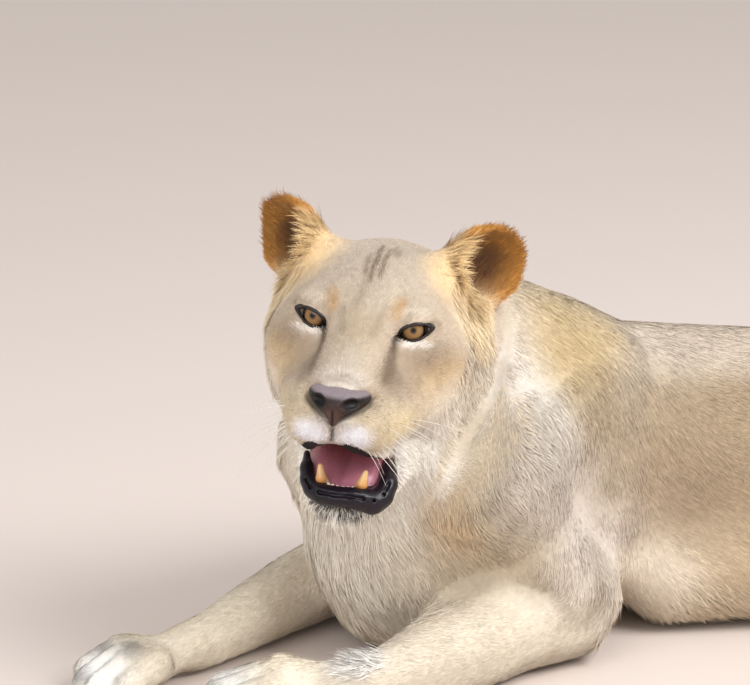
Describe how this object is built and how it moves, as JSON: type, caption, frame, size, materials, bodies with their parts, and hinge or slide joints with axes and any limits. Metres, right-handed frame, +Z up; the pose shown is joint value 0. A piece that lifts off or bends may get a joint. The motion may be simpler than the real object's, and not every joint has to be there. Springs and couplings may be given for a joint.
{
  "type": "lioness, lying with her mouth open",
  "caption": "Life-size still model of a lioness lying on her chest, head low and turned a little, mouth open in a pant, for a display floor.",
  "frame": {"origin": "the middle of the model's box on the floor it rests on", "axes": "+X runs along the body from the head end to the tail end, +Y points to her back's far side, +Z is up"},
  "size_m": [1.7744, 0.7276, 0.5241],
  "materials": {
    "coat": "matt short fur",
    "jaw_coat": "matt pale fur, dark wet lip",
    "tail_tuft": "matt long dark fur",
    "eye": "glossy",
    "nose_leather": "semi-matt, damp",
    "tongue": "wet, finely rough",
    "teeth": "glossy"
  },
  "bodies": {
    "root": {"head": "coat", "lower_jaw": "jaw_coat", "ear_left": "coat", "ear_right": "coat", "eye_left": "eye", "eye_right": "eye", "nose": "nose_leather", "tongue": "tongue", "lower_teeth": "teeth", "neck": "coat", "chest": "coat", "belly": "coat", "hips": "coat", "upper_arm_left": "coat", "upper_arm_right": "coat", "forearm_left": "coat", "forearm_right": "coat", "forepaw_left": "coat", "forepaw_right": "coat", "thigh_left": "coat", "thigh_right": "coat", "shank_left": "coat", "shank_right": "coat", "hind_foot_left": "coat", "hind_foot_right": "coat", "tail_base": "coat", "tail_middle": "coat", "tail_tip": "tail_tuft"}
  },
  "joints": []
}
